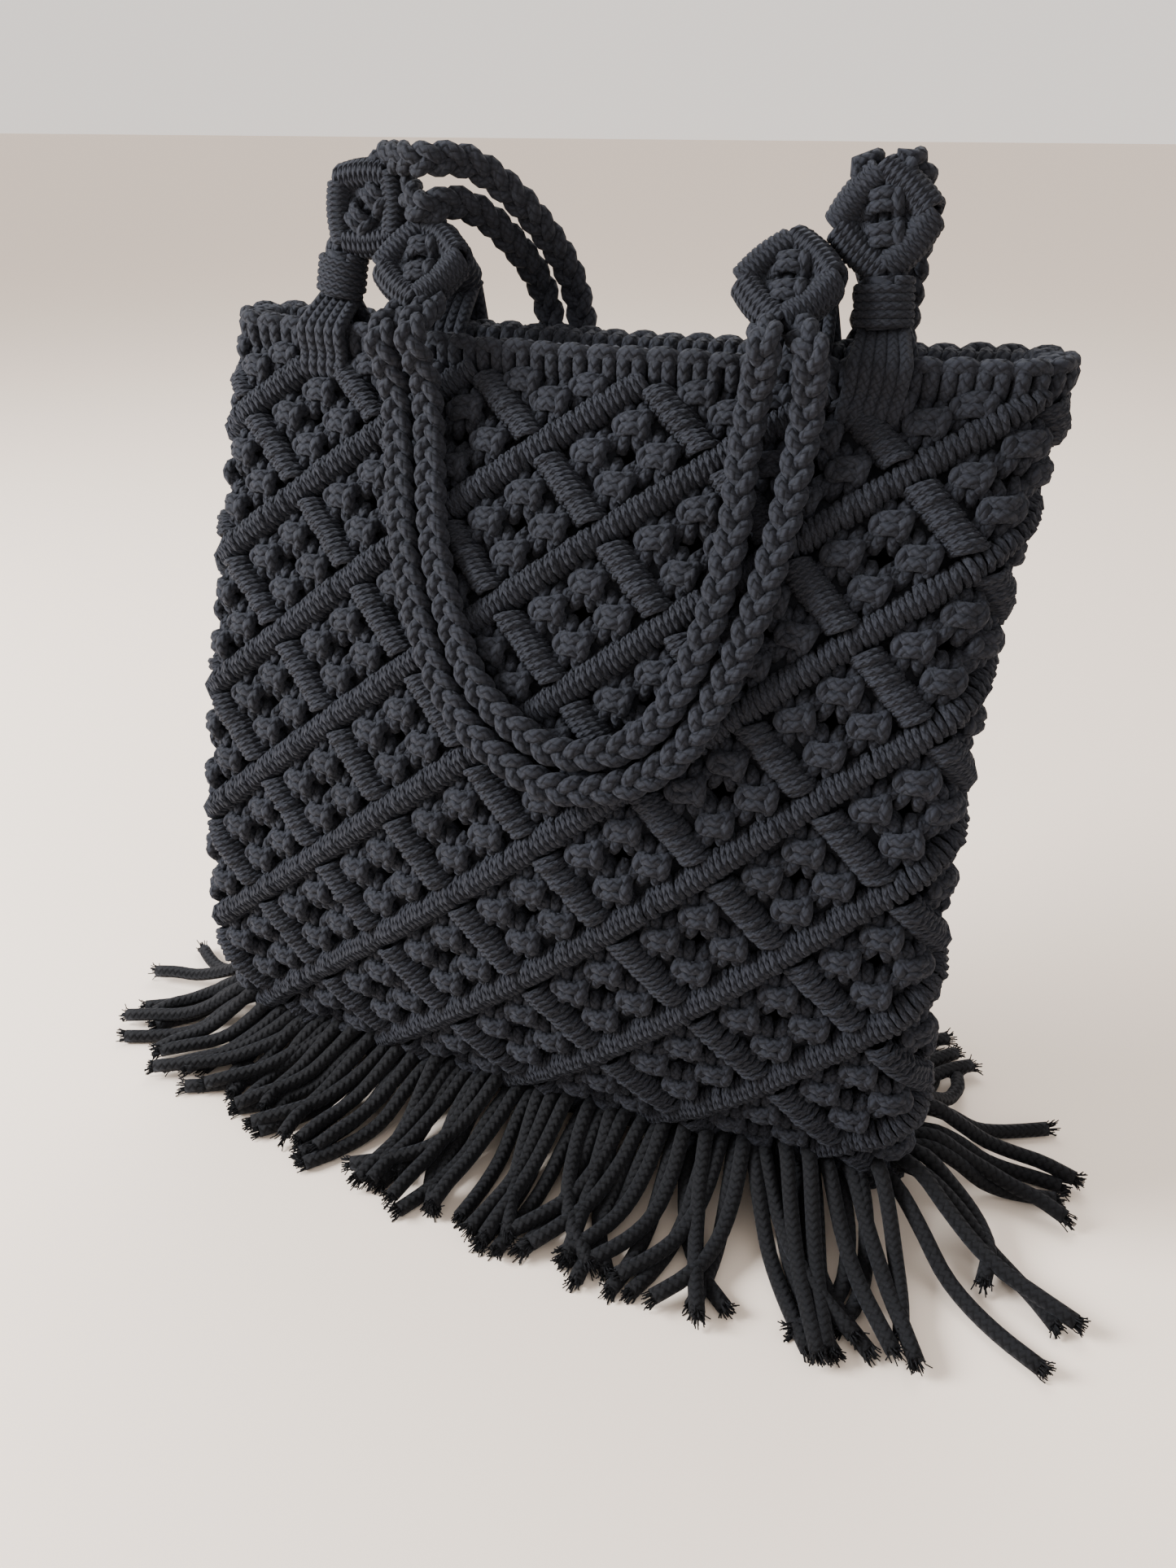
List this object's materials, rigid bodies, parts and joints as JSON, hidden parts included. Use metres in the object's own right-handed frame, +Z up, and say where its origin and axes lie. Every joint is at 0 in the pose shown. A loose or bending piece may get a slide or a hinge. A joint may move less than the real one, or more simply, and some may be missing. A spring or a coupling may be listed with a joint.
{
  "type": "bag",
  "caption": "Black macrame tote bag knotted in diamonds, with braided handles and a fringe along its foot.",
  "frame": {"origin": "middle of the flat foot that the bag stands on", "axes": "+X to the viewer's right along the bag's width, +Y from the front towards the back, +Z up"},
  "size_m": [0.4848, 0.229, 0.441],
  "materials": {
    "cord": "soft matt braided cotton cord, black",
    "fringe_cord": "soft matt braided cotton cord, black, ends slightly frayed"
  },
  "bodies": {
    "root": {"bag_wall": "cord", "rim_row": "cord", "tab_loop_left_front": "cord", "tab_wrap_left_front": "cord", "tab_diamond_left_front": "cord", "tab_loop_right_front": "cord", "tab_wrap_right_front": "cord", "tab_diamond_right_front": "cord", "tab_loop_left_back": "cord", "tab_wrap_left_back": "cord", "tab_diamond_left_back": "cord", "tab_loop_right_back": "cord", "tab_wrap_right_back": "cord", "tab_diamond_right_back": "cord", "handle_braid_front_1": "cord", "handle_braid_front_2": "cord", "handle_braid_back_1": "cord", "handle_braid_back_2": "cord", "fringe": "fringe_cord"}
  },
  "joints": []
}
